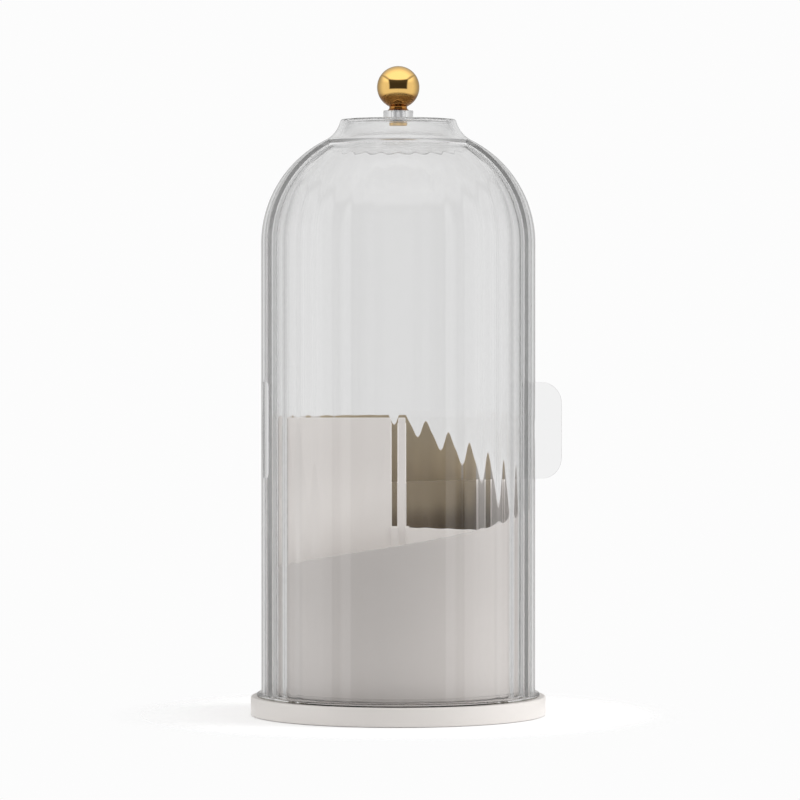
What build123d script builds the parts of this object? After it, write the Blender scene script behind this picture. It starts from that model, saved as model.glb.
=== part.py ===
from build123d import *
import math
import os

# Rotating makeup organizer: a round base, a five-cell cup on a ball race, and a clear
# fluted dome whose front sector is a sliding door that hangs on the knob's sleeve.
# The axis is Z, the front is -Y, and z = 0 is the surface that the organizer stands on.
# Sizes are in millimetres. Bearings are degrees round the axis from the front, positive
# towards the right (+X), so the back is at 180.

# Base plate and the pad under it
base_border = 2.8
base_bottom = 0.8
base_top = 9.0
base_lower_chamfer = 0.8
base_upper_chamfer = 0.6
pad_inset = 8.0
pad_thickness = 2.0
pad_clearance = 0.2
base_floor = 2.5

# Ball race between the base and the cup
race_circle = 34.0
race_inner_width = 7.0
race_outer_width = 8.0
race_thickness = 2.0
race_gap = 1.8
race_pocket_clearance = 1.0
ball_radius = 2.0
ball_count = 8
ball_bands = 3
groove_clearance = 0.25
groove_sides = 8
cage_thickness = 1.0
cage_half_width = 3.5
race_screw_inset = 3.0
race_screw_count = 3
race_screw_radius = 1.25
race_screw_head_radius = 2.3
race_screw_head_height = 1.2
countersink_angle = 82
lower_screw_length = 3.9
upper_screw_length = 7.0
upper_screw_bearing = 18.0
lower_screw_bearing = 78.0

# Pivot on the axis of the cup
pivot_radius = 2.5
pivot_head_radius = 4.5
pivot_head_height = 1.8
pivot_head_clearance = 0.2
pivot_boss_radius = 9.0
running_clearance = 0.05
fit_clearance = 0.02
axial_play = 0.2
bush_wall = 1.5
bush_flange_radius = 7.0
bush_flange_thickness = 1.0
bush_length = 6.7
hub_radius = 8.0
washer_radius = 5.5
washer_thickness = 0.8
nut_across_flats = 8.0
nut_height = 4.0
bolt_thread_end = 0.9

# Cup
cup_radius = 57.0
cup_wall = 2.0
cup_floor_thickness = 2.5
cup_lower_chamfer = 1.5
screw_boss_radius = 3.2
screw_boss_height = 4.2

# Rim of the cup: a ramp from the tall step at the left, round the front to the right,
# a steeper ramp up the right side, and a level top round the back
rim_start = 68.8
ramp_start_bearing = -90.0
ramp_break_bearing = 96.0
ramp_end_bearing = 182.0
ramp_rise_per_degree = 0.16
rim_top = 141.0
ramp_steps = 12
steep_steps = 6

# Partitions: bearing and top height of each, the first being the tall panel
partition_thickness = 2.0
partition_clearance = 0.3
socket_clearance = 0.6
socket_wall = 1.8
socket_headroom = 1.5
partitions = {
    -90.0: 141.0,
    -18.0: 77.5,
    54.0: 89.0,
    126.0: 110.5,
    198.0: 138.5,
}

# Clear dome, which clears the cup by cup_gap inside the door
cup_gap = 3.9
shell_wall = 1.8
shoulder_height = 223.6
shoulder_radius = 54.6
shoulder_bands = 7
crease_angle = 63.5
neck_radius = 14.0
neck_bands = 4
neck_rise = 9.94
neck_chamfer = 0.8
top_wall = 1.1
opening_half_angle = 70.0

# Flutes, which follow the meridians and fade out towards the neck
flute_pitch = 10.0
flute_radius = 16.0
flute_depth = 0.545
flute_fade = 1.0

# Door
door_gap = 0.5
door_wall = 1.8
door_disc_wall = 1.0
door_left_bearing = -74.0
door_right_bearing = 72.5
door_foot_gap = 0.3

# Handle tab on the door and the pad that stops it
tab_bearing = 68.0
tab_reach = 17.3
tab_thickness = 2.0
tab_bottom = 113.1
tab_height = 45.2
tab_corner = 10.0
root_bite = 1.0
stop_pad_left_bearing = -76.0
stop_pad_right_bearing = -69.2
stop_pad_thickness = 1.5
stop_pad_lip = 0.6
stop_pad_corner = 2.5

# Ring under the dome
ring_flange = 2.2
ring_thickness = 1.4
ring_lip_width = 1.4
ring_lip_clearance = 0.5
ring_lip_height = 2.0
ring_spigot_depth = 1.6
ring_groove_clearance = 0.2
ring_edge_chamfer = 0.4

# Knob, and the stack that hangs the door
wear_washer_radius = 6.0
wear_washer_thickness = 0.3
collar_radius = 7.1
collar_height = 4.1
sleeve_radius = 2.6
sleeve_wall = 1.0
knob_radius = 10.05
knob_centre_lift = 11.1
foot_radius = 4.95
foot_edge = 0.45
foot_waist_radius = 4.25
foot_waist_lift = 1.3
knob_screw_radius = 1.5
knob_screw_head_radius = 4.25
knob_screw_head_height = 1.3
knob_screw_head_chamfer = 0.4
knob_thread_depth = 7.0
door_play = 0.1

# Radii that follow from the sizes above
race_inner_radius = race_circle - race_inner_width
race_outer_radius = race_circle + race_outer_width
race_screw_circle = race_outer_radius - race_screw_inset
door_skin = shell_wall + door_gap
dome_radius = cup_radius + cup_gap + door_wall + door_skin
ring_radius = dome_radius + ring_flange
ring_inner_radius = cup_radius + cup_gap - ring_lip_clearance - ring_lip_width
base_radius = ring_radius + base_border
pad_radius = base_radius - pad_inset
tab_tip_radius = dome_radius + tab_reach

# Heights that follow from the sizes above
pocket_floor = pad_thickness + base_floor
lower_race_top = pocket_floor + race_thickness
ball_height = lower_race_top + race_gap / 2
upper_race_bottom = lower_race_top + race_gap
cup_bottom = upper_race_bottom + race_thickness
cup_floor = cup_bottom + cup_floor_thickness
bush_top = cup_bottom + bush_length
washer_bottom = bush_top + axial_play
nut_bottom = washer_bottom + washer_thickness
bolt_top = nut_bottom + nut_height + bolt_thread_end
socket_top = bolt_top + socket_headroom
ring_top = base_top + ring_thickness
door_foot = ring_top + door_foot_gap
shoulder_centre = dome_radius - shoulder_radius
neck_reach = shoulder_radius + neck_radius
neck_centre_radius = shoulder_centre + neck_reach * math.cos(math.radians(crease_angle))
neck_centre_height = shoulder_height + neck_reach * math.sin(math.radians(crease_angle))
crease_height = shoulder_height + shoulder_radius * math.sin(math.radians(crease_angle))
neck_top = crease_height + neck_rise
top_underside = neck_top - top_wall
door_top = top_underside - wear_washer_thickness
door_underside = door_top - door_disc_wall
screw_head_top = door_underside - door_play
collar_top = neck_top + collar_height
knob_centre = collar_top + knob_centre_lift
clearance_cut = 1.0
length_match = 0.01

os.makedirs("parts", exist_ok=True)


def turn(bearing):
    """Angle about Z, from +X, of a bearing counted from the front."""
    return bearing - 90.0


def radial_plane(bearing):
    """Upright plane through the axis: its x runs outwards and its y runs up."""
    angle = math.radians(turn(bearing))
    outwards = (math.cos(angle), math.sin(angle), 0)
    return Plane(origin=(0, 0, 0), x_dir=outwards, z_dir=(outwards[1], -outwards[0], 0))


def ring_face(inner, outer):
    """Flat ring between two radii, in the sketch in hand."""
    Circle(outer)
    Circle(inner, mode=Mode.SUBTRACT)


def groove_face():
    """Section of the ball groove, flat at the bottom, in the sketch in hand."""
    half_turn = 180 / groove_sides
    RegularPolygon(ball_radius + groove_clearance, groove_sides, major_radius=False, rotation=half_turn)


def arc_points(centre, radius, first_angle, last_angle, bands):
    """Points along an arc, which turn into a few plain cones in place of one doubly curved face."""
    points = []
    for band in range(bands + 1):
        angle = math.radians(first_angle + (last_angle - first_angle) * band / bands)
        points.append((centre[0] + radius * math.cos(angle), centre[1] + radius * math.sin(angle)))
    return points


def bearing_ball():
    """One ball about the origin, turned from a few straight bands."""
    with BuildPart() as ball:
        with BuildSketch(Plane.XZ):
            with BuildLine():
                Polyline(*arc_points((0, 0), ball_radius, -90, 90, ball_bands), close=True)
            make_face()
        revolve(axis=Axis.Z)
    return ball.part


def sector_face(outer, first_bearing, last_bearing):
    """Pie slice between two bearings."""
    with BuildSketch() as slice_face:
        with BuildLine():
            rim = CenterArc((0, 0), outer, turn(first_bearing), last_bearing - first_bearing)
            Line((0, 0), rim @ 0)
            Line(rim @ 1, (0, 0))
        make_face()
    return slice_face.sketch


def dome_face(skin, bottom, top):
    """Half section of the dome, filled, lying skin inside its outer surface."""
    shoulder_arc_centre = (shoulder_centre, shoulder_height)
    neck_arc_centre = (neck_centre_radius, neck_centre_height)
    neck_arc_radius = neck_radius + skin
    neck_start = 180 + crease_angle
    neck_end = 180 + math.degrees(math.asin((neck_centre_height - top) / neck_arc_radius))
    with BuildSketch() as half_section:
        with BuildLine():
            Polyline(
                (0, bottom),
                (dome_radius - skin, bottom),
                *arc_points(shoulder_arc_centre, shoulder_radius - skin, 0, crease_angle, shoulder_bands),
                *arc_points(neck_arc_centre, neck_arc_radius, neck_start, neck_end, neck_bands)[1:],
                (0, top),
                close=True,
            )
        make_face()
    return half_section.sketch


def flute_cutter(skin):
    """Rod that cuts one flute: it runs up the wall and drifts outwards over the shoulder."""
    path_radius = dome_radius - skin + flute_radius - flute_depth
    arc_radius = shoulder_radius - skin + flute_radius - flute_depth + flute_fade
    arc_centre = path_radius - arc_radius
    with BuildPart() as cutter:
        with BuildLine(Plane.XZ) as meridian:
            Polyline(
                (path_radius, base_top - clearance_cut),
                *arc_points((arc_centre, shoulder_height), arc_radius, 0, crease_angle, shoulder_bands),
            )
        with BuildSketch(Plane.XY.offset(base_top - clearance_cut)):
            with Locations((path_radius, 0)):
                Circle(flute_radius)
        sweep(path=meridian.wire(), transition=Transition.RIGHT)
    return cutter.part


def cut_flutes(cutter, first_bearing, last_bearing):
    """Cut the flutes between two bearings. Each flute lies midway between two ridges."""
    first = math.floor(first_bearing / flute_pitch) + 0.5
    last = math.ceil(last_bearing / flute_pitch) - 0.5
    count = round(last - first) + 1
    with PolarLocations(0, count, turn(first * flute_pitch), (count - 1) * flute_pitch, endpoint=True):
        add(cutter, mode=Mode.SUBTRACT)


def rim_height(bearing):
    """Height of the cup's rim: ramp, steeper ramp, then level."""
    break_height = rim_start + ramp_rise_per_degree * (ramp_break_bearing - ramp_start_bearing)
    if bearing <= ramp_break_bearing:
        return rim_start + ramp_rise_per_degree * (bearing - ramp_start_bearing)
    share = (bearing - ramp_break_bearing) / (ramp_end_bearing - ramp_break_bearing)
    return break_height + (rim_top - break_height) * share


def cut_ramp(first_bearing, last_bearing, steps):
    """Cut away the cup's wall above one stretch of the ramp."""
    inner = cup_radius - cup_wall - clearance_cut
    outer = cup_radius + clearance_cut
    above = rim_top + clearance_cut
    sections = []
    for step in range(steps + 1):
        bearing = first_bearing + (last_bearing - first_bearing) * step / steps
        with BuildSketch(radial_plane(bearing)) as section:
            with BuildLine():
                Polyline(
                    (inner, rim_height(bearing)),
                    (outer, rim_height(bearing)),
                    (outer, above),
                    (inner, above),
                    close=True,
                )
            make_face()
        sections.append(section.sketch)
    loft(sections, ruled=True, mode=Mode.SUBTRACT)


def race_screw(length):
    """Countersunk screw, head up, with the flat of its head at z = 0."""
    with BuildPart() as screw:
        with BuildSketch(Plane.XZ):
            with BuildLine():
                Polyline(
                    (0, 0),
                    (race_screw_head_radius, 0),
                    (race_screw_radius, -race_screw_head_height),
                    (race_screw_radius, -length),
                    (0, -length),
                    close=True,
                )
            make_face()
        revolve(axis=Axis.Z)
    return screw.part


def save(builder, name):
    """Label a finished piece and write it as its own file."""
    builder.part.label = name
    export_step(builder.part, f"parts/{name}.step")


# Base plate: ball race pocket and ring groove above, pad recess and bolt seat below
with BuildPart() as base_plate:
    with BuildSketch(Plane.XY.offset(base_bottom)):
        Circle(base_radius)
    extrude(amount=base_top - base_bottom)
    chamfer(base_plate.edges().group_by(Axis.Z)[0], base_lower_chamfer)
    chamfer(base_plate.edges().group_by(Axis.Z)[-1], base_upper_chamfer)
    with BuildSketch(Plane.XY.offset(pocket_floor)):
        ring_face(pivot_boss_radius, race_outer_radius + race_pocket_clearance)
    extrude(amount=base_top - pocket_floor, mode=Mode.SUBTRACT)
    with BuildSketch(Plane.XY.offset(base_top)):
        ring_face(
            ring_inner_radius - ring_groove_clearance,
            ring_inner_radius + ring_lip_width + ring_groove_clearance,
        )
    extrude(amount=-(ring_spigot_depth + ring_groove_clearance), mode=Mode.SUBTRACT)
    with BuildSketch(Plane.XY.offset(base_bottom)):
        Circle(pad_radius + pad_clearance)
    extrude(amount=pad_thickness - base_bottom, mode=Mode.SUBTRACT)
    with BuildSketch(Plane.XY.offset(pad_thickness)):
        Circle(pivot_head_radius + pivot_head_clearance)
    extrude(amount=pivot_head_height + pivot_head_clearance, mode=Mode.SUBTRACT)
    with Locations((0, 0, base_top)):
        Hole(pivot_radius + running_clearance)
    with Locations((0, 0, pocket_floor)):
        with PolarLocations(race_screw_circle, race_screw_count, turn(lower_screw_bearing)):
            Hole(race_screw_radius + fit_clearance, depth=lower_screw_length - race_thickness)
save(base_plate, "base_plate")

# Pad that the organizer stands on
with BuildPart() as non_slip_pad:
    with BuildSketch():
        Circle(pad_radius)
    extrude(amount=pad_thickness)
save(non_slip_pad, "non_slip_pad")

# Races: flat rings with a ball groove and countersunk holes
with BuildPart() as lower_race:
    with BuildSketch(Plane.XY.offset(pocket_floor)):
        ring_face(race_inner_radius, race_outer_radius)
    extrude(amount=race_thickness)
    with BuildSketch(Plane.XZ):
        with Locations((race_circle, ball_height)):
            groove_face()
    revolve(axis=Axis.Z, mode=Mode.SUBTRACT)
    with Locations((0, 0, lower_race_top)):
        with PolarLocations(race_screw_circle, race_screw_count, turn(lower_screw_bearing)):
            CounterSinkHole(
                race_screw_radius + fit_clearance,
                race_screw_head_radius + fit_clearance,
                counter_sink_angle=countersink_angle,
            )
save(lower_race, "lower_race")

with BuildPart() as upper_race:
    with BuildSketch(Plane.XY.offset(upper_race_bottom)):
        ring_face(race_inner_radius, race_outer_radius)
    extrude(amount=race_thickness)
    with BuildSketch(Plane.XZ):
        with Locations((race_circle, ball_height)):
            groove_face()
    revolve(axis=Axis.Z, mode=Mode.SUBTRACT)
    with Locations(Location((0, 0, upper_race_bottom), (180, 0, 0))):
        with PolarLocations(race_screw_circle, race_screw_count, -turn(upper_screw_bearing)):
            CounterSinkHole(
                race_screw_radius + fit_clearance,
                race_screw_head_radius + fit_clearance,
                counter_sink_angle=countersink_angle,
            )
save(upper_race, "upper_race")

# Race screws: the lower three point down, the upper three point up
with BuildPart() as lower_race_screws:
    with Locations((0, 0, lower_race_top)):
        with PolarLocations(race_screw_circle, race_screw_count, turn(lower_screw_bearing)):
            add(race_screw(lower_screw_length))
save(lower_race_screws, "lower_race_screws")

with BuildPart() as upper_race_screws:
    with Locations(Location((0, 0, upper_race_bottom), (180, 0, 0))):
        with PolarLocations(race_screw_circle, race_screw_count, -turn(upper_screw_bearing)):
            add(race_screw(upper_screw_length))
save(upper_race_screws, "upper_race_screws")

# Balls and the cage that spaces them
with BuildPart() as bearing_balls:
    with Locations((0, 0, ball_height)):
        with PolarLocations(race_circle, ball_count):
            add(bearing_ball())
save(bearing_balls, "bearing_balls")

with BuildPart() as ball_cage:
    with BuildSketch(Plane.XY.offset(ball_height - cage_thickness / 2)):
        ring_face(race_circle - cage_half_width, race_circle + cage_half_width)
        with PolarLocations(race_circle, ball_count):
            Circle(ball_radius + groove_clearance, mode=Mode.SUBTRACT)
    extrude(amount=cage_thickness)
save(ball_cage, "ball_cage")

# Pivot bolt, bush, washer and nut
with BuildPart() as pivot_bolt:
    with BuildSketch(Plane.XY.offset(pad_thickness + pivot_head_clearance)):
        Circle(pivot_head_radius)
    extrude(amount=pivot_head_height)
    with BuildSketch(Plane.XY.offset(pad_thickness + pivot_head_clearance)):
        Circle(pivot_radius)
    extrude(amount=bolt_top - pad_thickness - pivot_head_clearance)
save(pivot_bolt, "pivot_bolt")

with BuildPart() as hub_bush:
    with BuildSketch(Plane.XY.offset(cup_bottom - bush_flange_thickness)):
        Circle(bush_flange_radius)
    extrude(amount=bush_flange_thickness)
    with BuildSketch(Plane.XY.offset(cup_bottom)):
        Circle(pivot_radius + running_clearance + bush_wall)
    extrude(amount=bush_length)
    with Locations((0, 0, bush_top)):
        Hole(pivot_radius + running_clearance)
save(hub_bush, "hub_bush")

with BuildPart() as pivot_washer:
    with BuildSketch(Plane.XY.offset(washer_bottom)):
        ring_face(pivot_radius + running_clearance, washer_radius)
    extrude(amount=washer_thickness)
save(pivot_washer, "pivot_washer")

with BuildPart() as lock_nut:
    with BuildSketch(Plane.XY.offset(nut_bottom)):
        RegularPolygon(nut_across_flats / 2, 6, major_radius=False)
        Circle(pivot_radius + fit_clearance, mode=Mode.SUBTRACT)
    extrude(amount=nut_height)
save(lock_nut, "lock_nut")

# Cup: a turned wall whose rim is cut to the ramp, a hub and bosses for the race screws
with BuildPart() as brush_cup:
    with BuildSketch(Plane.XY.offset(cup_bottom)):
        Circle(cup_radius)
    extrude(amount=rim_top - cup_bottom)
    chamfer(brush_cup.edges().group_by(Axis.Z)[0], cup_lower_chamfer)
    with BuildSketch(Plane.XY.offset(cup_floor)):
        Circle(cup_radius - cup_wall)
    extrude(amount=rim_top - cup_floor, mode=Mode.SUBTRACT)
    panel_edge = math.degrees(partition_thickness / 2 / cup_radius)
    cut_ramp(ramp_start_bearing + panel_edge, ramp_break_bearing, ramp_steps)
    cut_ramp(ramp_break_bearing, ramp_end_bearing, steep_steps)
    with BuildSketch(Plane.XY.offset(cup_floor)):
        Circle(hub_radius)
    extrude(amount=bush_top - cup_floor)
    with BuildSketch(Plane.XY.offset(cup_floor)):
        with PolarLocations(race_screw_circle, race_screw_count, turn(upper_screw_bearing)):
            Circle(screw_boss_radius)
    extrude(amount=screw_boss_height)
    with Locations((0, 0, bush_top)):
        Hole(pivot_radius + running_clearance + bush_wall + fit_clearance)
    with BuildSketch(Plane.XY.offset(cup_bottom)):
        with PolarLocations(race_screw_circle, race_screw_count, turn(upper_screw_bearing)):
            Circle(race_screw_radius + fit_clearance)
    extrude(amount=upper_screw_length - race_thickness, mode=Mode.SUBTRACT)
save(brush_cup, "brush_cup")

# Partitions: five upright panels that meet on the axis over a socket for the hub
with BuildPart() as divider_core:
    panel_reach = cup_radius - cup_wall - partition_clearance
    for bearing, panel_top in partitions.items():
        with BuildSketch(radial_plane(bearing)):
            with BuildLine():
                Polyline(
                    (0, cup_floor),
                    (panel_reach, cup_floor),
                    (panel_reach, panel_top),
                    (0, panel_top),
                    close=True,
                )
            make_face()
        extrude(amount=partition_thickness / 2, both=True)
    with BuildSketch(Plane.XY.offset(cup_floor)):
        Circle(hub_radius + socket_clearance + socket_wall)
    extrude(amount=socket_top + socket_wall - cup_floor)
    with BuildSketch(Plane.XY.offset(cup_floor)):
        Circle(hub_radius + socket_clearance)
    extrude(amount=socket_top - cup_floor, mode=Mode.SUBTRACT)
save(divider_core, "divider_core")

# Ring under the dome: flange outside, lip that guides the door, spigot into the base
with BuildPart() as bottom_ring:
    with BuildSketch(Plane.XY.offset(base_top)):
        ring_face(ring_inner_radius, ring_radius)
    extrude(amount=ring_thickness)
    chamfer(bottom_ring.edges().group_by(Axis.Z)[-1].sort_by(SortBy.RADIUS)[-1], ring_edge_chamfer)
    with BuildSketch(Plane.XY.offset(base_top - ring_spigot_depth)):
        ring_face(ring_inner_radius, ring_inner_radius + ring_lip_width)
    extrude(amount=ring_spigot_depth + ring_thickness + ring_lip_height)
save(bottom_ring, "bottom_ring")

# Rods that cut the flutes of the two shells
fixed_flute = flute_cutter(0)
door_flute = flute_cutter(door_skin)

# Fixed shell: the fluted rear of the dome, open over the front sector below the neck
with BuildPart() as fixed_shell:
    with BuildSketch(Plane.XZ):
        add(dome_face(0, ring_top, neck_top))
    revolve(axis=Axis.Z)
    chamfer(fixed_shell.edges().group_by(Axis.Z)[-1], neck_chamfer)
    with BuildSketch(Plane.XZ):
        add(dome_face(shell_wall, ring_top - clearance_cut, top_underside))
    revolve(axis=Axis.Z, mode=Mode.SUBTRACT)
    with BuildSketch(Plane.XY.offset(ring_top - clearance_cut)):
        add(sector_face(2 * dome_radius, -opening_half_angle, opening_half_angle))
    extrude(amount=crease_height - ring_top + clearance_cut, mode=Mode.SUBTRACT)
    cut_flutes(fixed_flute, opening_half_angle, 360 - opening_half_angle)
    with Locations((0, 0, neck_top)):
        Hole(sleeve_radius + running_clearance, depth=top_wall + clearance_cut)
save(fixed_shell, "fixed_shell")

# Door shell: the fluted front sector under a full cap that turns on the knob's sleeve
with BuildPart() as door_shell:
    with BuildSketch(Plane.XZ):
        add(dome_face(door_skin, door_foot, door_top))
    revolve(axis=Axis.Z)
    with BuildSketch(Plane.XZ):
        add(dome_face(door_skin + door_wall, door_foot - clearance_cut, door_underside))
    revolve(axis=Axis.Z, mode=Mode.SUBTRACT)
    with BuildSketch(Plane.XY.offset(door_foot - clearance_cut)):
        add(sector_face(2 * dome_radius, door_right_bearing, door_left_bearing + 360))
    extrude(amount=crease_height - door_foot + clearance_cut, mode=Mode.SUBTRACT)
    cut_flutes(door_flute, door_left_bearing, door_right_bearing)
    with Locations((0, 0, door_top)):
        Hole(sleeve_radius + running_clearance, depth=door_disc_wall + clearance_cut)
save(door_shell, "door_shell")

# Handle tab: an upright rounded plate whose root follows the door's flutes
with BuildPart() as handle_tab:
    root = dome_radius - door_skin - root_bite
    with BuildSketch(radial_plane(tab_bearing)) as tab_side:
        with Locations(((root + tab_tip_radius) / 2, tab_bottom + tab_height / 2)):
            Rectangle(tab_tip_radius - root, tab_height)
        fillet(tab_side.vertices().group_by(Axis.X)[-1], tab_corner)
    extrude(amount=tab_thickness / 2, both=True)
    add(door_shell.part, mode=Mode.SUBTRACT)
save(handle_tab, "handle_tab")

# Stop pad at the left edge of the fixed shell, with a lip past the edge
with BuildPart() as stop_pad:
    with BuildSketch(Plane.XY.offset(tab_bottom)):
        add(sector_face(dome_radius + stop_pad_thickness, stop_pad_left_bearing, stop_pad_right_bearing))
        Circle(dome_radius - stop_pad_lip, mode=Mode.SUBTRACT)
    extrude(amount=tab_height)
    pad_depth = stop_pad_thickness + stop_pad_lip
    fillet(stop_pad.edges().filter_by(lambda edge: abs(edge.length - pad_depth) < length_match), stop_pad_corner)
    add(fixed_shell.part, mode=Mode.SUBTRACT)
save(stop_pad, "stop_pad")

# Wear washer between the dome's top and the door's cap
with BuildPart() as wear_washer:
    with BuildSketch(Plane.XY.offset(door_top)):
        ring_face(sleeve_radius + running_clearance, wear_washer_radius)
    extrude(amount=wear_washer_thickness)
save(wear_washer, "wear_washer")

# Collar, sleeve, screw and knob
with BuildPart() as knob_collar:
    with BuildSketch(Plane.XY.offset(neck_top)):
        ring_face(sleeve_radius + running_clearance, collar_radius)
    extrude(amount=collar_height)
save(knob_collar, "knob_collar")

with BuildPart() as knob_sleeve:
    with BuildSketch(Plane.XY.offset(screw_head_top)):
        ring_face(sleeve_radius - sleeve_wall, sleeve_radius)
    extrude(amount=collar_top - screw_head_top)
save(knob_sleeve, "knob_sleeve")

with BuildPart() as knob_screw:
    with BuildSketch(Plane.XY.offset(screw_head_top)):
        Circle(knob_screw_head_radius)
    extrude(amount=-knob_screw_head_height)
    chamfer(knob_screw.edges().group_by(Axis.Z)[0], knob_screw_head_chamfer)
    with BuildSketch(Plane.XY.offset(screw_head_top)):
        Circle(knob_screw_radius)
    extrude(amount=collar_top - screw_head_top + knob_thread_depth)
save(knob_screw, "knob_screw")

with BuildPart() as ball_knob:
    joint_angle = -math.degrees(math.acos(foot_waist_radius / knob_radius))
    with BuildSketch(Plane.XZ):
        with BuildLine():
            ball = CenterArc((0, knob_centre), knob_radius, joint_angle, 90 - joint_angle)
            Polyline(
                ball @ 1,
                (0, collar_top),
                (foot_radius, collar_top),
                (foot_radius, collar_top + foot_edge),
                (foot_waist_radius, collar_top + foot_waist_lift),
                ball @ 0,
            )
        make_face()
    revolve(axis=Axis.Z)
    with BuildSketch(Plane.XY.offset(collar_top)):
        Circle(knob_screw_radius + fit_clearance)
    extrude(amount=knob_thread_depth + fit_clearance, mode=Mode.SUBTRACT)
save(ball_knob, "ball_knob")
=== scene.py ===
import logging
import math
from dataclasses import dataclass, field
from enum import Enum
from functools import reduce
from typing import Callable, Sequence

import bpy
import numpy as np
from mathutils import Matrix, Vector


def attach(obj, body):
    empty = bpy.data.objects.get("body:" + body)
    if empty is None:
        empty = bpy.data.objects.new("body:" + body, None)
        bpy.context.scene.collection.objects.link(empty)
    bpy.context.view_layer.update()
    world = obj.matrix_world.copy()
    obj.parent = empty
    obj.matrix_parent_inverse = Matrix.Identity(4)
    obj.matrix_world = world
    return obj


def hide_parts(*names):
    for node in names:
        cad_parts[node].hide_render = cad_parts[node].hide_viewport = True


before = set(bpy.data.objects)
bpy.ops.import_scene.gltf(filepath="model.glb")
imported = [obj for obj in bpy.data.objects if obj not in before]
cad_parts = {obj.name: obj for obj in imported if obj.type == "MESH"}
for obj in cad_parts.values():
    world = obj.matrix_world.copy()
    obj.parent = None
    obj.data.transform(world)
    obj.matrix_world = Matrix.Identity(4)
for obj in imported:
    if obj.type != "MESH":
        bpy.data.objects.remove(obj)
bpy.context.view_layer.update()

LOG = logging.getLogger("organizer")
MM = 0.001  # a millimetre in metres
FAR = 1.0  # a distance in metres that no piece reaches
EAST = 90.0  # the bearing of +X in degrees
WELD_GRID = 2e-7  # points on the same step of this grid, in metres, are made one
SHARP_ANGLE = 35.0  # edges that turn by more degrees stay sharp
NOISE_SPAN = (0.3, 0.7)  # the range in which nearly all noise lies
GRAIN_DETAIL = 2.0  # octaves of noise in a plastic's or a metal's grain
PLASTIC_INDEX = 1.49
GOLD = (0.84, 0.54, 0.18)

Pair = tuple[float, float]
Colour = tuple[float, float, float]
Piece = bpy.types.Object
Material = bpy.types.Material
Tree = bpy.types.NodeTree
Node = bpy.types.Node
Socket = bpy.types.NodeSocket
Sockets = bpy.types.bpy_prop_collection
Source = Socket | Colour | float


class Body(Enum):
    """The moving bodies that pieces ride on."""

    BASE = "base"
    HOLDER = "holder"
    COVER = "cover"
    DOOR = "door"


class Slot(Enum):
    """Names of the record's material slots, which no piece here is given."""

    BASE = "base_plastic"
    CUP = "cup_plastic"
    PARTITION = "partition_plastic"
    CLEAR = "clear_plastic"
    GOLD = "gold_metal"
    SLEEVE = "sleeve_chrome"


# Mesh making


def bearing_direction(bearing: np.ndarray) -> tuple[np.ndarray, np.ndarray]:
    """Direction (sin b, -cos b) of bearings b in degrees, counted from the front (-Y) towards +X."""
    angle = np.radians(bearing)
    return np.sin(angle), -np.cos(angle)


def arc(centre: Pair, radius: float, start: float, end: float, steps: int) -> np.ndarray:
    """Points centre + radius * (cos a, sin a), with a in equal steps from start to end in degrees."""
    angle = np.radians(np.linspace(start, end, steps + 1))
    return np.stack([centre[0] + radius * np.cos(angle), centre[1] + radius * np.sin(angle)], axis=1)


def rectangle(left: float, bottom: float, right: float, top: float) -> list[Pair]:
    """Corners of an upright rectangle, counter-clockwise from the lower left."""
    return [(left, bottom), (right, bottom), (right, top), (left, top)]


def rounded_outline(corners: Sequence[Pair], radii: Sequence[float], steps: int = 5) -> np.ndarray:
    """Closed outline whose corners are circular arcs.

    Each corner is replaced by the arc that is tangent to its two sides: its centre lies on the
    bisector, at radius / sin(half the corner's angle) from the corner.

    Args:
        corners: Corner points in order.
        radii: Radius at each corner, 0 for a sharp one.
        steps: Steps along each arc.

    Returns:
        The outline's points, without a repeat of the first.
    """
    points = np.asarray(corners, float)
    before = np.roll(points, 1, axis=0) - points
    after = np.roll(points, -1, axis=0) - points
    before /= np.linalg.norm(before, axis=1)[:, None]
    after /= np.linalg.norm(after, axis=1)[:, None]
    stretches = []
    for corner, to_last, to_next, radius in zip(points, before, after, radii):
        if radius <= 0:
            stretches.append(corner[None, :])
            continue
        half = 0.5 * math.acos(float(np.clip(np.dot(to_last, to_next), -1, 1)))
        bisector = (to_last + to_next) / np.linalg.norm(to_last + to_next)
        centre = corner + bisector * radius / math.sin(half)
        start = corner + to_last * radius / math.tan(half) - centre
        end = corner + to_next * radius / math.tan(half) - centre
        share = np.linspace(0, 1, steps + 1)[:, None]
        sweep = math.pi - 2 * half
        blend = (np.sin((1 - share) * sweep) * start + np.sin(share * sweep) * end) / math.sin(sweep)
        stretches.append(centre + blend)
    return np.concatenate(stretches)


def make_object(name: str, points: np.ndarray, quads: np.ndarray) -> Piece:
    """Object at the origin from points and quads, smooth but for edges over SHARP_ANGLE.

    A quad in which a number stands twice in a row is a triangle, and the repeat is left out.

    Args:
        name: Name of the object.
        points: One row of x, y, z in metres for each vertex.
        quads: One row of four vertex numbers for each face.

    Returns:
        The new object, linked to the scene.
    """
    kept = quads != np.roll(quads, -1, axis=1)
    corners = quads[kept]
    starts = np.concatenate([[0], np.cumsum(kept.sum(axis=1))[:-1]])
    mesh = bpy.data.meshes.new(name)
    mesh.vertices.add(len(points))
    mesh.vertices.foreach_set("co", np.ascontiguousarray(points, dtype=np.float32).ravel())
    mesh.loops.add(len(corners))
    mesh.loops.foreach_set("vertex_index", corners.astype(np.int32))
    mesh.polygons.add(len(quads))
    mesh.polygons.foreach_set("loop_start", starts.astype(np.int32))
    mesh.update(calc_edges=True)
    mesh.validate()
    mesh.shade_smooth()
    mesh.set_sharp_from_angle(angle=math.radians(SHARP_ANGLE))
    made = bpy.data.objects.new(name, mesh)
    bpy.context.scene.collection.objects.link(made)
    return made


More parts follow.
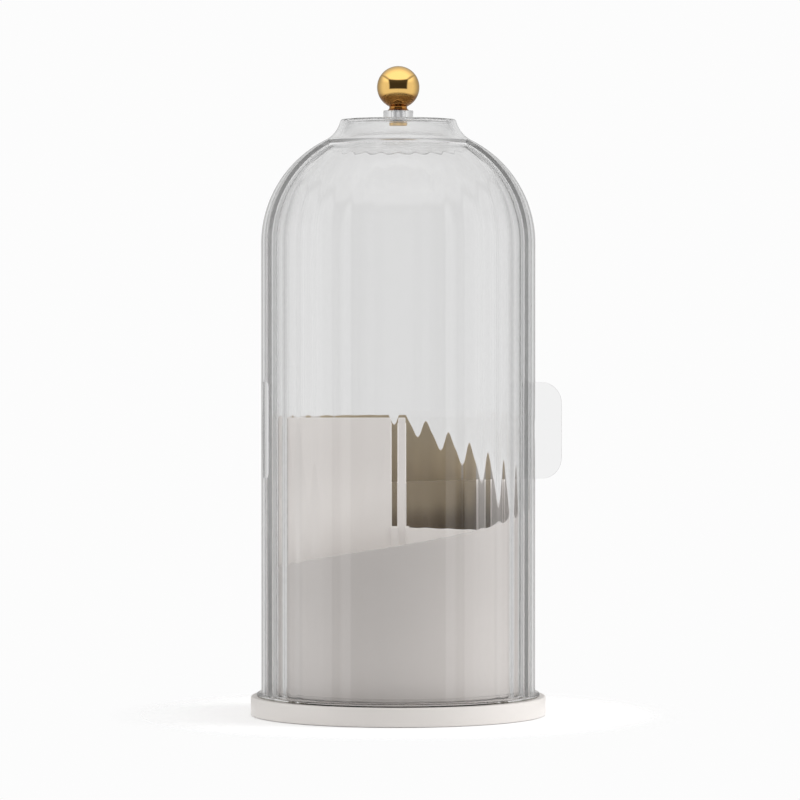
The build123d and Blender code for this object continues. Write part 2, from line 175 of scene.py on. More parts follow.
def grid_quads(rows: int, columns: int, wrap_rows: bool, wrap_columns: bool) -> np.ndarray:
    """Quads of a grid whose vertices are numbered row by row.

    Args:
        rows: Number of vertex rows.
        columns: Number of vertices in a row.
        wrap_rows: Join the last row to the first.
        wrap_columns: Join the last column to the first.

    Returns:
        An array (row steps, column steps, 4) of vertex numbers.
    """
    row = np.arange(rows if wrap_rows else rows - 1)
    column = np.arange(columns if wrap_columns else columns - 1)
    row, column = np.meshgrid(row, column, indexing="ij")
    here, there = row * columns, (row + 1) % rows * columns
    beside = (column + 1) % columns
    return np.stack([here + column, there + column, there + beside, here + beside], axis=-1)


def turned(name: str, outline: np.ndarray, segments: int) -> Piece:
    """Solid of revolution about Z from a closed half section.

    A point at bearing b and outline point (r, z) is (r sin b, -r cos b, z). Outline points on the
    axis meet in one vertex, so poles are closed.

    Args:
        name: Name of the object.
        outline: Closed outline in millimetres, running counter-clockwise seen with r to the right.
        segments: Number of steps round the axis.

    Returns:
        The new object.
    """
    east, north = bearing_direction(np.linspace(0, 360, segments, endpoint=False))
    radius = outline[:, 0]
    height = np.broadcast_to(outline[:, 1], (segments, len(outline)))
    points = np.stack([np.outer(east, radius), np.outer(north, radius), height], axis=-1)
    quads = grid_quads(segments, len(outline), True, True)
    return welded(name, points * MM, quads)


def welded(name: str, points: np.ndarray, quads: np.ndarray) -> Piece:
    """Object from points and quads with doubled points made one and flat faces dropped.

    Args:
        name: Name of the object.
        points: Vertices in metres, x, y, z on the last axis.
        quads: Faces, four vertex numbers on the last axis.

    Returns:
        The new object.
    """
    points = points.reshape(-1, 3)
    keys = np.round(points / WELD_GRID).astype(np.int64)
    _, first, number = np.unique(keys, axis=0, return_index=True, return_inverse=True)
    quads = number.reshape(-1)[quads.reshape(-1, 4)]
    corners = (quads != np.roll(quads, -1, axis=1)).sum(axis=1)
    return make_object(name, points[first], quads[corners >= 3])


def walled(name: str, outer: np.ndarray, inner: np.ndarray, kept: np.ndarray) -> Piece:
    """Closed wall between an outer and an inner surface that share one grid.

    The outer surface keeps the quads marked in kept, the inner one has them turned over, and every
    edge that only one kept quad has is joined to its twin on the inner surface by a strip.

    Args:
        name: Name of the object.
        outer: Outer points, (columns round, rows up, 3), in metres; columns wrap round.
        inner: Inner points on the same grid.
        kept: True for each quad that each surface has, (columns, rows - 1).

    Returns:
        The new object.
    """
    columns, rows = outer.shape[:2]
    quads = grid_quads(columns, rows, True, False)[kept]
    count = columns * rows
    edges = np.stack([quads, np.roll(quads, -1, axis=1)], axis=-1).reshape(-1, 2)
    forward = edges[:, 0].astype(np.int64) * count + edges[:, 1]
    backward = edges[:, 1].astype(np.int64) * count + edges[:, 0]
    border = edges[~np.isin(forward, backward)]
    strip = np.stack([border[:, 1], border[:, 0], border[:, 0] + count, border[:, 1] + count], axis=1)
    faces = np.concatenate([quads, quads[:, ::-1] + count, strip])
    points = np.concatenate([outer.reshape(-1, 3), inner.reshape(-1, 3)])
    used, renumbered = np.unique(faces, return_inverse=True)
    return welded(name, points[used], renumbered.reshape(faces.shape))


def slab(
    outline: np.ndarray, bearing: float, thickness: float, edge: float, steps: int = 3
) -> tuple[np.ndarray, np.ndarray]:
    """Flat plate in an upright plane through the axis, with rounded edges.

    The plate is a stack of copies of its outline across its thickness; near each face the outline
    is drawn in by edge * (1 - cos a) while it moves out by edge * sin a, which rounds the rim.
    Each face is closed by a fan about the outline's middle.

    Args:
        outline: Closed outline of (radius, height) rows in millimetres, counter-clockwise.
        bearing: Bearing of the plane in degrees.
        thickness: Thickness of the plate in millimetres.
        edge: Radius of the rounded rim in millimetres.
        steps: Steps round the rim.

    Returns:
        The plate's points in metres and its quads.
    """
    angle = np.radians(np.linspace(0, 90, steps + 1))
    shift = thickness / 2 - edge + edge * np.sin(angle)
    inset = edge * (1 - np.cos(angle))
    offset = np.concatenate([-shift[::-1], shift])
    drawn = np.concatenate([inset[::-1], inset])
    before = outline - np.roll(outline, 1, axis=0)
    after = np.roll(outline, -1, axis=0) - outline
    before /= np.linalg.norm(before, axis=1)[:, None]
    after /= np.linalg.norm(after, axis=1)[:, None]
    along = before + after
    along /= np.linalg.norm(along, axis=1)[:, None]
    inward = np.stack([-along[:, 1], along[:, 0]], axis=1)
    rings = outline[None] + drawn[:, None, None] * inward[None]
    middle = np.broadcast_to(outline.mean(axis=0), (1, len(outline), 2))
    rings = np.concatenate([middle, rings, middle])
    offset = np.concatenate([offset[:1], offset, offset[-1:]])
    east, north = bearing_direction(np.array(bearing))
    across = np.broadcast_to(offset[:, None], rings.shape[:2])
    x = rings[..., 0] * east - across * north
    y = rings[..., 0] * north + across * east
    points = np.stack([x, y, rings[..., 1]], axis=-1).reshape(-1, 3)
    return points * MM, grid_quads(len(offset), len(outline), False, True).reshape(-1, 4)


# Finishes, with places and heights in metres


def node_tree(name: str) -> tuple[Material, Tree, Node]:
    """New material with a principled shader on its output.

    Args:
        name: Name of the material.

    Returns:
        The material, its node tree and its principled shader.
    """
    material = bpy.data.materials.new(name)
    material.use_nodes = True
    tree = material.node_tree
    tree.nodes.clear()
    output = tree.nodes.new("ShaderNodeOutputMaterial")
    shader = tree.nodes.new("ShaderNodeBsdfPrincipled")
    tree.links.new(shader.outputs["BSDF"], output.inputs["Surface"])
    return material, tree, shader


def output_of(tree: Tree) -> Node:
    """The output node of a material's tree."""
    return next(node for node in tree.nodes if node.type == "OUTPUT_MATERIAL")


def feed(tree: Tree, entry: Socket, source: Source) -> None:
    """Link a socket to an input, or set the input to a number or a colour.

    Args:
        tree: Node tree that both belong to.
        entry: The input.
        source: Socket, number or colour.
    """
    if isinstance(source, Socket):
        tree.links.new(source, entry)
    elif isinstance(source, tuple):
        entry.default_value = (*source, 1)
    else:
        entry.default_value = source


def calculated(tree: Tree, operation: str, first: Source, second: Source = 0.0) -> Socket:
    """Result of a sum on one or two values.

    Args:
        tree: Node tree to add to.
        operation: Name of the sum, such as MAXIMUM.
        first: First value.
        second: Second value, which a sum on one value doesn't use.

    Returns:
        The socket that holds the result.
    """
    node = tree.nodes.new("ShaderNodeMath")
    node.operation = operation
    feed(tree, node.inputs[0], first)
    feed(tree, node.inputs[1], second)
    return node.outputs["Value"]


def product_of(tree: Tree, factors: Sequence[Socket]) -> Socket:
    """Product of the values of several sockets."""
    return reduce(lambda first, second: calculated(tree, "MULTIPLY", first, second), factors)


def mixed(
    tree: Tree, share: Source, first: Source, second: Source, blend: str = "MIX"
) -> Socket:
    """Mix of two colours.

    Args:
        tree: Node tree to add to.
        share: How much of the second colour there is.
        first: First colour.
        second: Second colour, or what the first is multiplied by.
        blend: MIX, or MULTIPLY.

    Returns:
        The socket that holds the mixed colour.
    """
    node = tree.nodes.new("ShaderNodeMix")
    node.data_type = "RGBA"
    node.blend_type = blend
    for entry, source in (("Factor", share), ("A", first), ("B", second)):
        feed(tree, node.inputs[entry], source)
    return node.outputs["Result"]


def blended(
    tree: Tree, share: Socket, first: Socket, second: Socket
) -> Socket:
    """Mix of two shaders.

    Args:
        tree: Node tree to add to.
        share: How much of the second shader there is.
        first: First shader.
        second: Second shader.

    Returns:
        The socket of the mixed shader.
    """
    node = tree.nodes.new("ShaderNodeMixShader")
    for entry, source in zip(node.inputs, (share, first, second)):
        tree.links.new(source, entry)
    return node.outputs["Shader"]


def mapped(
    tree: Tree,
    source: Socket,
    given: Pair,
    wanted: Pair,
    smooth: bool = False,
) -> Socket:
    """Value moved from one range to another, and held at its ends.

    Args:
        tree: Node tree to add to.
        source: Socket of the value.
        given: Range that the value comes in.
        wanted: Range that the result has.
        smooth: Ease in and out at the ends.

    Returns:
        The socket that holds the result.
    """
    node = tree.nodes.new("ShaderNodeMapRange")
    if smooth:
        node.interpolation_type = "SMOOTHSTEP"
    for entry, value in zip(("From Min", "From Max", "To Min", "To Max"), (*given, *wanted)):
        node.inputs[entry].default_value = value
    tree.links.new(source, node.inputs["Value"])
    return node.outputs["Result"]


def soft_step(tree: Tree, source: Socket, off: float, on: float) -> Socket:
    """Soft step of a value: 0 where it is off, 1 where it is on, smooth between."""
    wanted = (0.0, 1.0) if off < on else (1.0, 0.0)
    return mapped(tree, source, (min(off, on), max(off, on)), wanted, smooth=True)


def object_place(tree: Tree) -> Socket:
    """Place on the object, in its own coordinates."""
    return tree.nodes.new("ShaderNodeTexCoord").outputs["Object"]


def separated(tree: Tree, source: Socket) -> Sockets:
    """The X, Y and Z sockets of a vector.

    Args:
        tree: Node tree to add to.
        source: Socket of the vector.

    Returns:
        The three sockets, by name.
    """
    node = tree.nodes.new("ShaderNodeSeparateXYZ")
    tree.links.new(source, node.inputs["Vector"])
    return node.outputs


def axis_distance(tree: Tree) -> Socket:
    """Distance in metres from the object's Z axis, the length of (x, y, 0).

    Args:
        tree: Node tree to add to.

    Returns:
        The socket that holds the distance.
    """
    flat = tree.nodes.new("ShaderNodeVectorMath")
    flat.operation = "MULTIPLY"
    flat.inputs[1].default_value = (1, 1, 0)
    length = tree.nodes.new("ShaderNodeVectorMath")
    length.operation = "LENGTH"
    tree.links.new(object_place(tree), flat.inputs[0])
    tree.links.new(flat.outputs["Vector"], length.inputs[0])
    return length.outputs["Value"]


def noise_between(
    tree: Tree, scale: float, low: float, high: float, detail: float = 3.0
) -> Socket:
    """Noise on object coordinates, spread so that its span runs from low to high."""
    return mapped(tree, object_noise(tree, scale, detail), NOISE_SPAN, (low, high))


def object_noise(tree: Tree, scale: float, detail: float) -> Socket:
    """Noise on object coordinates.

    Args:
        tree: Node tree to add to.
        scale: Noise cells in a metre.
        detail: Octaves of finer noise.

    Returns:
        The socket that holds the noise, mostly inside NOISE_SPAN.
    """
    noise = tree.nodes.new("ShaderNodeTexNoise")
    noise.inputs["Scale"].default_value = scale
    noise.inputs["Detail"].default_value = detail
    tree.links.new(object_place(tree), noise.inputs["Vector"])
    return noise.outputs["Fac"]


def drifting(
    tree: Tree, colour: Colour, scale: float, darker: float, lighter: float
) -> Socket:
    """Colour that drifts over a piece, from a darker factor on it to a lighter one."""
    dark, light = (tuple(min(1.0, c * factor) for c in colour) for factor in (darker, lighter))
    return mixed(tree, noise_between(tree, scale, 0.0, 1.0), dark, light)


def add_grain(tree: Tree, shader: Node, scale: float, depth: float, strength: float) -> None:
    """Give a shader a fine grain in its normal.

    Args:
        tree: Node tree to add to.
        shader: The shader.
        scale: Grains in a metre.
        depth: Depth of the grain in metres.
        strength: Share of the grain that is used.
    """
    bump = tree.nodes.new("ShaderNodeBump")
    bump.inputs["Distance"].default_value = depth
    bump.inputs["Strength"].default_value = strength
    tree.links.new(object_noise(tree, scale, GRAIN_DETAIL), bump.inputs["Height"])
    tree.links.new(bump.outputs["Normal"], shader.inputs["Normal"])


@dataclass(frozen=True)
class PaintedHeightShading:
    """Painted light and shade: a factor on a colour that sets in at one height and is full at another."""

    factor: Colour
    start: float
    full: float

    def on(self, tree: Tree, colour: Source) -> Socket:
        """Multiply a colour by the factor, softly between the two heights."""
        height = separated(tree, object_place(tree))["Z"]
        return mixed(tree, soft_step(tree, height, self.start, self.full), colour, self.factor, "MULTIPLY")


@dataclass(frozen=True)
class PaintedShade:
    """Painted shade on the faces at the rear of the cells, which look forwards; places in metres.

    It holds where y is over start, or where x is over side and z over foot. In both it ends where
    |x| reaches half_width, and at radius from the axis.
    """

    colour: Colour
    fade: PaintedHeightShading
    radius: float = FAR
    start: float = 0.0016
    half_width: float = 0.0385
    side: float = FAR
    foot: float = FAR
    soft_start: float = 0.001
    soft_side: float = 0.002
    soft_foot: float = 0.0003
    soft_radius: float = 0.0002

    def mask(self, tree: Tree) -> Socket:
        """Mask of the painted shade: the larger of its two regions, times the limits on width and radius.

        Args:
            tree: Node tree to add to.

        Returns:
            The socket that holds the mask.
        """
        place = separated(tree, object_place(tree))
        beside = product_of(tree, [
            soft_step(tree, place["X"], self.side, self.side + self.soft_foot),
            soft_step(tree, place["Z"], self.foot, self.foot + self.soft_foot),
        ])
        behind = soft_step(tree, place["Y"], self.start, self.start + self.soft_start)
        width = calculated(tree, "ABSOLUTE", place["X"])
        return product_of(tree, [
            calculated(tree, "MAXIMUM", behind, beside),
            soft_step(tree, width, self.half_width + self.soft_side, self.half_width),
            soft_step(tree, axis_distance(tree), self.radius + self.soft_radius, self.radius),
        ])


@dataclass(frozen=True)
class SatinPlastic:
    """Moulded opaque plastic with a fine spark-eroded grain and a faint drift of tone."""

    name: str
    colour: Colour
    roughness: float = 0.42
    tone_drift: float = 0.02
    grain_depth: float = 0.00001
    grain_scale: float = 2600.0
    # painted shade: a darker colour over the rear faces of the cells
    painted_shade: PaintedShade | None = None
    # painted light and shade by height
    fade: PaintedHeightShading | None = None
    drift_scale: float = 22.0
    gloss_scale: float = 160.0
    gloss_spread: float = 0.04
    grain_strength: float = 0.5

    def material(self) -> Material:
        """Material with drifting tone, painted light and shade where given, uneven gloss and fine bump.

        Returns:
            The new material.
        """
        material, tree, shader = node_tree(self.name)
        colour = drifting(tree, self.colour, self.drift_scale, 1 - self.tone_drift, 1 + self.tone_drift)
        # paint light and shade by height
        if self.fade:
            colour = self.fade.on(tree, colour)
        # paint the shade colour, itself darker or lighter by height, over the rear faces of the cells
        if self.painted_shade:
            inner = self.painted_shade.fade.on(tree, self.painted_shade.colour)
            colour = mixed(tree, self.painted_shade.mask(tree), colour, inner)
        tree.links.new(colour, shader.inputs["Base Color"])
        low, high = self.roughness - self.gloss_spread, self.roughness + self.gloss_spread
        tree.links.new(noise_between(tree, self.gloss_scale, low, high), shader.inputs["Roughness"])
        add_grain(tree, shader, self.grain_scale, self.grain_depth, self.grain_strength)
        shader.inputs["IOR"].default_value = PLASTIC_INDEX
        return material


@dataclass(frozen=True)
class ClearPlastic:
    """Clear moulded plastic that greys the light along its way through the wall."""

    name: str
    tint: Colour
    absorption: Colour = (0.5, 0.505, 0.5)
    density: float = 7.0
    mirror: float = 0.985
    ior: float = PLASTIC_INDEX
    roughness: float = 0.0
    roughness_spread: float = 0.01
    edge_tint: Colour | None = None
    edge_radius: float = 0.0669
    edge_height: float = 0.0096
    edge_soft_radius: float = 0.0001
    edge_soft_height: float = 0.0002
    # painted light: a paler tint on the neck and top, which stands in for light there
    neck_painted_light: Colour | None = None
    neck_start: float = 0.2702
    neck_soft: float = 0.001
    haze: float = 0.0
    drift_scale: float = 18.0
    drift_least: float = 0.985
    drift_tone: float = 0.99
    drift_detail: float = 2.0
    gloss_scale: float = 60.0
    pass_power: float = 0.25
    pass_share: float = 0.99

    def colour(self, tree: Tree) -> Socket:
        """Tint with a slight drift, with its own tone at the ring's rim, and with painted light on the neck.

        Args:
            tree: Node tree to add to.

        Returns:
            The socket that holds the colour.
        """
        drift = noise_between(tree, self.drift_scale, self.drift_least, 1.0, self.drift_detail)
        colour = mixed(tree, drift, tuple(c * self.drift_tone for c in self.tint), self.tint)
        height = separated(tree, object_place(tree))["Z"]
        if self.edge_tint:
            away = axis_distance(tree)
            rim = product_of(tree, [
                soft_step(tree, away, self.edge_radius, self.edge_radius + self.edge_soft_radius),
                soft_step(tree, height, self.edge_height + self.edge_soft_height, self.edge_height),
            ])
            colour = mixed(tree, rim, colour, self.edge_tint)
        # paint light on the neck: a paler tint above neck_start
        if self.neck_painted_light:
            neck = soft_step(tree, height, self.neck_start - self.neck_soft, self.neck_start)
            colour = mixed(tree, neck, colour, self.neck_painted_light)
        return colour

    def material(self) -> Material:
        """Refracting material that lets lamp light and bounced light straight through, tinted.

        The light that passes straight has the tint's pass_power-th power times pass_share.

        Returns:
            The new material.
        """
        material, tree, shader = node_tree(self.name)
        output = output_of(tree)
        shader.inputs["Transmission Weight"].default_value = 1.0 - self.haze
        shader.inputs["IOR"].default_value = self.ior
        shader.inputs["Specular Tint"].default_value = (self.mirror, self.mirror, self.mirror, 1)
        body = tree.nodes.new("ShaderNodeVolumeAbsorption")
        body.inputs["Color"].default_value = (*self.absorption, 1)
        body.inputs["Density"].default_value = self.density
        tree.links.new(body.outputs["Volume"], output.inputs["Volume"])
        tree.links.new(self.colour(tree), shader.inputs["Base Color"])
        gloss = noise_between(tree, self.gloss_scale, self.roughness, self.roughness + self.roughness_spread)
        tree.links.new(gloss, shader.inputs["Roughness"])
        path = tree.nodes.new("ShaderNodeLightPath").outputs
        through = tree.nodes.new("ShaderNodeBsdfTransparent")
        passed = tuple(c ** self.pass_power * self.pass_share for c in self.tint)
        feed(tree, through.inputs["Color"], passed)
        straight = calculated(tree, "MAXIMUM", path["Is Shadow Ray"], path["Is Diffuse Ray"])
        surface = blended(tree, straight, shader.outputs["BSDF"], through.outputs["BSDF"])
        tree.links.new(surface, output.inputs["Surface"])
        return material


@dataclass(frozen=True)
class PolishedMetal:
    """Plated or turned metal with fine lines of polish."""

    name: str
    colour: Colour
    roughness: float = 0.06
    spread: float = 0.03
    line_depth: float = 0.000002
    line_scale: float = 900.0
    # painted shade by height
    fade: PaintedHeightShading | None = None
    drift_scale: float = 90.0
    darker: float = 0.96
    lighter: float = 1.03
    gloss_scale: float = 300.0
    line_strength: float = 0.3

    def material(self) -> Material:
        """Metal with drifting tone, painted shade by height where given, uneven polish and fine bump.

        Returns:
            The new material.
        """
        material, tree, shader = node_tree(self.name)
        shader.inputs["Metallic"].default_value = 1.0
        colour = drifting(tree, self.colour, self.drift_scale, self.darker, self.lighter)
        # paint shade by height
        if self.fade:
            colour = self.fade.on(tree, colour)
        tree.links.new(colour, shader.inputs["Base Color"])
        gloss = noise_between(tree, self.gloss_scale, self.roughness, self.roughness + self.spread)
        tree.links.new(gloss, shader.inputs["Roughness"])
        add_grain(tree, shader, self.line_scale, self.line_depth, self.line_strength)
        return material


@dataclass
class Finishes:
    """Every finish of the organizer, each made into a material once."""

    base: SatinPlastic = SatinPlastic("base_satin_plastic", (0.62, 0.592, 0.568), 0.38)
    pad: SatinPlastic = SatinPlastic("pad_rubber", (0.03, 0.03, 0.03), 0.75, 0.1, 0.00004, 1200.0)
    cup: SatinPlastic = SatinPlastic(
        "cup_satin_plastic",
        (0.585, 0.55, 0.528),
        0.45,
        # painted shade on the inside of the cup's rear wall, lighter towards the bottom
        painted_shade=PaintedShade((0.60, 0.483, 0.322), PaintedHeightShading((0.70, 0.714, 0.714), 0.112, 0.136), radius=0.0552),
    )
    partition: SatinPlastic = SatinPlastic(
        "partition_satin_plastic",
        (0.98, 0.935, 0.90),
        0.45,
        # painted shade on the rear panels, darker towards the bottom
        painted_shade=PaintedShade(
            (0.215, 0.165, 0.10), PaintedHeightShading((0.52, 0.47, 0.40), 0.101, 0.0905), side=0.0010, foot=0.0893
        ),
        # painted light: the partitions lighter towards the bottom than at the top
        fade=PaintedHeightShading((0.90, 0.895, 0.895), 0.092, 0.126),
    )
    cage: SatinPlastic = SatinPlastic("cage_plastic", (0.80, 0.80, 0.77), 0.5)
    bush: SatinPlastic = SatinPlastic("bush_plastic", (0.70, 0.70, 0.66), 0.35)
    washer: SatinPlastic = SatinPlastic("washer_plastic", (0.75, 0.75, 0.75), 0.3)
    # the paler neck tints are painted light on the shells' necks
    clear: ClearPlastic = ClearPlastic("clear_plastic", (0.872, 0.872, 0.872), neck_painted_light=(0.94, 0.94, 0.94))
    clear_edge: ClearPlastic = ClearPlastic(
        "clear_edge_plastic", (0.62, 0.62, 0.62), roughness=0.3, neck_painted_light=(0.97, 0.97, 0.97), haze=0.38
    )
    soft_clear: ClearPlastic = ClearPlastic(
        "tab_plastic", (0.91, 0.91, 0.91), mirror=0.15, ior=1.1, roughness=0.05
    )
    ring_clear: ClearPlastic = ClearPlastic(
        "ring_plastic", (0.95, 0.95, 0.95), mirror=0.15, ior=1.12, edge_tint=(0.16, 0.145, 0.12)
    )
    gold: PolishedMetal = PolishedMetal("gold_plating", GOLD, 0.05)
    # painted dark reflection: the ball darker towards its bottom and on its foot
    gold_ball: PolishedMetal = PolishedMetal(
        "gold_ball_metal", GOLD, 0.05, fade=PaintedHeightShading((0.50, 0.36, 0.27), 0.2950, 0.2925)
    )
    chrome: PolishedMetal = PolishedMetal("bright_chrome", (0.72, 0.72, 0.73), 0.06)
    steel: PolishedMetal = PolishedMetal("zinc_plated_steel", (0.55, 0.56, 0.58), 0.25, 0.1, 0.00001, 1500.0)
    made: dict[str, Material] = field(default_factory=dict)

    def get(self, finish: SatinPlastic | ClearPlastic | PolishedMetal) -> Material:
        """The material of a finish, made the first time that it is asked for.

        Args:
            finish: One of the finishes.

        Returns:
            Its material.
        """
        if finish.name not in self.made:
            self.made[finish.name] = finish.material()
        return self.made[finish.name]


def dress(piece: Piece, material: Material) -> None:
    """Give a piece one material all over."""
    piece.data.materials.clear()
    piece.data.materials.append(material)


def finish_edges(piece: Piece, walls: int, material: Material) -> None:
    """Give the cut edges of a shell their own material.

    Args:
        piece: The shell, already dressed.
        walls: Number of its first faces, which are the two surfaces of its wall.
        material: Material of all later faces.
    """
    piece.data.materials.append(material)
    slots = np.zeros(len(piece.data.polygons), dtype=np.int32)
    slots[walls:] = 1
    piece.data.polygons.foreach_set("material_index", slots)


def install(piece: Piece, body: Body, material: Material, stands_for: str = "") -> None:
    """Dress a new piece, let it ride on its body and put it in the place of its CAD node.

    Args:
        piece: The new piece.
        body: The body that it rides on.
        material: Its material.
        stands_for: The CAD node that it replaces, or nothing for a piece that the CAD lacks.
    """
    dress(piece, material)
    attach(piece, body.value)
    if stands_for:
        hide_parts(stands_for)
    LOG.info("%s on %s stands for %s", piece.name, body.value, stands_for or "no CAD node")


# Sub-assemblies, with sizes in millimetres and bearings in degrees


@dataclass
class Base:
    """Round base plate, turned from one outline with its race pocket and ring groove."""

    radius: float = 70.0
    bottom: float = 0.15
    top: float = 9.0
    lower_round: float = 0.5
    upper_round: float = 0.8
    pad_recess_radius: float = 62.2
    pad_top: float = 2.0
    groove_inner: float = 58.8
    groove_outer: float = 60.6
    groove_floor: float = 7.2
    pocket_radius: float = 43.0
    pocket_floor: float = 4.5
    boss_radius: float = 9.0
    bore_radius: float = 2.55
    head_seat_radius: float = 4.7
    head_seat_height: float = 4.0
    edge: float = 0.15
    segments: int = 256

    def build(self) -> Piece:
        """The base plate as one turned solid.

        Returns:
            The plate.
        """
        corners = [
            (self.bore_radius, self.head_seat_height),
            (self.head_seat_radius, self.head_seat_height),
            (self.head_seat_radius, self.pad_top),
            (self.pad_recess_radius, self.pad_top),
            (self.pad_recess_radius, self.bottom),
            (self.radius, self.bottom),
            (self.radius, self.top),
            (self.groove_outer, self.top),
            (self.groove_outer, self.groove_floor),
            (self.groove_inner, self.groove_floor),
            (self.groove_inner, self.top),
            (self.pocket_radius, self.top),
            (self.pocket_radius, self.pocket_floor),
            (self.boss_radius, self.pocket_floor),
            (self.boss_radius, self.top),
            (self.bore_radius, self.top),
        ]
        rim = [self.lower_round, self.upper_round]
        inside = [self.edge, 0, 0, self.edge, self.edge, 0, 0, self.edge, 0]
        outline = rounded_outline(corners, [0, 0, 0, 0, 0, *rim, *inside])
        return turned("turned_base", outline, self.segments)

    def dress(self, finishes: Finishes) -> None:
        """Build, finish and place the base."""
        install(self.build(), Body.BASE, finishes.get(finishes.base), "base_plate")


@dataclass
class Cup:
    """Cup whose rim is a helical ramp, and the five partitions that stand in it."""

    radius: float = 57.0
    wall: float = 2.0
    bottom: float = 10.3
    floor: float = 12.8
    hub_radius: float = 8.0
    hub_top: float = 17.0
    bore_radius: float = 4.07
    rim_start: float = 68.8
    rim_top: float = 141.0
    start_bearing: float = -90.0
    break_bearing: float = 96.0
    end_bearing: float = 182.0
    level_end: float = 270.0
    rise: float = 0.16
    seam: float = 0.02
    columns: int = 361
    rim_round: float = 0.6
    lower_round: float = 0.8
    floor_round: float = 1.2
    round_steps: int = 4
    lower_steps: int = 5
    wall_rows: int = 4
    wall_share: float = 0.15
    panel_thickness: float = 2.0
    panel_reach: float = 54.7
    panel_round: float = 0.35
    panel_foot_round: float = 0.2
    panel_top_round: float = 1.0
    panels: tuple[Pair, ...] = (
        (-90.0, 141.0),
        (-18.0, 77.5),
        (54.0, 89.0),
        (126.0, 110.5),
        (198.0, 138.5),
    )
    socket_radius: float = 10.4
    socket_bore: float = 8.6
    socket_top: float = 26.2
    socket_roof: float = 1.8
    socket_round: float = 0.8
    socket_segments: int = 64

    def rim_height(self, bearing: np.ndarray) -> np.ndarray:
        """Height of the rim: a ramp, a steeper ramp, then level.

        Args:
            bearing: Bearings in degrees from -90 to 270.

        Returns:
            Heights in millimetres.
        """
        at_break = self.rim_start + self.rise * (self.break_bearing - self.start_bearing)
        return np.interp(
            bearing,
            [self.start_bearing, self.break_bearing, self.end_bearing, self.level_end],
            [self.rim_start, at_break, self.rim_top, self.rim_top],
        )

    def build_cup(self) -> Piece:
        """Cup as a turned wall whose upper rows follow the rim.

        Each row of the half section is z = fixed + share * rim(bearing), with share 0 on the floor
        and under it and 1 at the rim. Two columns a seam apart make the step at the panel.

        Returns:
            The cup.
        """
        step = self.start_bearing + math.degrees(self.panel_thickness / 2 / self.radius)
        bearing = np.linspace(step, step + 360 - self.seam, self.columns)
        rim = self.rim_height(bearing)
        inner = self.radius - self.wall
        low, deep, steps = self.lower_round, self.floor_round, self.round_steps
        upper = arc((self.radius - self.rim_round, -self.rim_round), self.rim_round, 0, 90, steps)
        lower = arc((inner + self.rim_round, -self.rim_round), self.rim_round, 90, 180, steps)
        rim_rows = np.concatenate([upper, lower])
        up = np.linspace(self.wall_share, 1 - self.wall_share, self.wall_rows)
        down = up[::-1]
        foot = arc((self.radius - low, self.bottom + low), low, -90, 0, self.lower_steps)
        well = arc((inner - deep, self.floor + deep), deep, 0, -90, steps)
        hub = np.array([
            (self.hub_radius, self.floor),
            (self.hub_radius, self.hub_top),
            (self.bore_radius, self.hub_top),
            (self.bore_radius, self.bottom),
        ])
        outside = np.stack([np.full_like(up, self.radius), (1 - up) * foot[-1, 1]], axis=1)
        inside = np.stack([np.full_like(up, inner), (1 - down) * well[0, 1]], axis=1)
        radius, fixed = np.concatenate([foot, outside, rim_rows, inside, well, hub]).T
        still = np.zeros(len(well) + len(hub))
        share = np.concatenate([np.zeros(len(foot)), up, np.ones(len(rim_rows)), down, still])
        height = fixed[None] + share[None] * rim[:, None]
        east, north = bearing_direction(bearing)
        points = np.stack([np.outer(east, radius), np.outer(north, radius), height], axis=-1)
        return welded("ramp_cup", points * MM, grid_quads(len(bearing), len(radius), True, True))

    def build_partitions(self) -> Piece:
        """The five panels, which meet on the axis, as one piece.

        Returns:
            The partitions.
        """
        radii = [self.panel_foot_round, self.panel_foot_round, self.panel_top_round, self.panel_top_round]
        points, quads, count = [], [], 0
        for bearing, top in self.panels:
            outline = rounded_outline(rectangle(0.0, self.floor, self.panel_reach, top), radii)
            panel, faces = slab(outline, bearing, self.panel_thickness, self.panel_round)
            points.append(panel)
            quads.append(faces + count)
            count += len(panel)
        return welded("partitions", np.concatenate(points), np.concatenate(quads))

    def build_socket(self) -> Piece:
        """Round cover over the pivot at the foot of the panels.

        Returns:
            The cover.
        """
        ceiling = self.socket_top - self.socket_roof
        corners = [
            (0, self.socket_top),
            (0, ceiling),
            (self.socket_bore, ceiling),
            (self.socket_bore, self.floor),
            (self.socket_radius, self.floor),
            (self.socket_radius, self.socket_top),
        ]
        outline = rounded_outline(corners, [0, 0, 0, 0, 0, self.socket_round])
        return turned("pivot_socket", outline, self.socket_segments)

    def dress(self, finishes: Finishes) -> None:
        """Build, finish and place the cup, its partitions and the cover over the pivot.

        Args:
            finishes: Finishes to take the materials from.
        """
        install(self.build_cup(), Body.HOLDER, finishes.get(finishes.cup), "brush_cup")
        plastic = finishes.get(finishes.partition)
        install(self.build_partitions(), Body.HOLDER, plastic, "divider_core")
        install(self.build_socket(), Body.HOLDER, plastic)


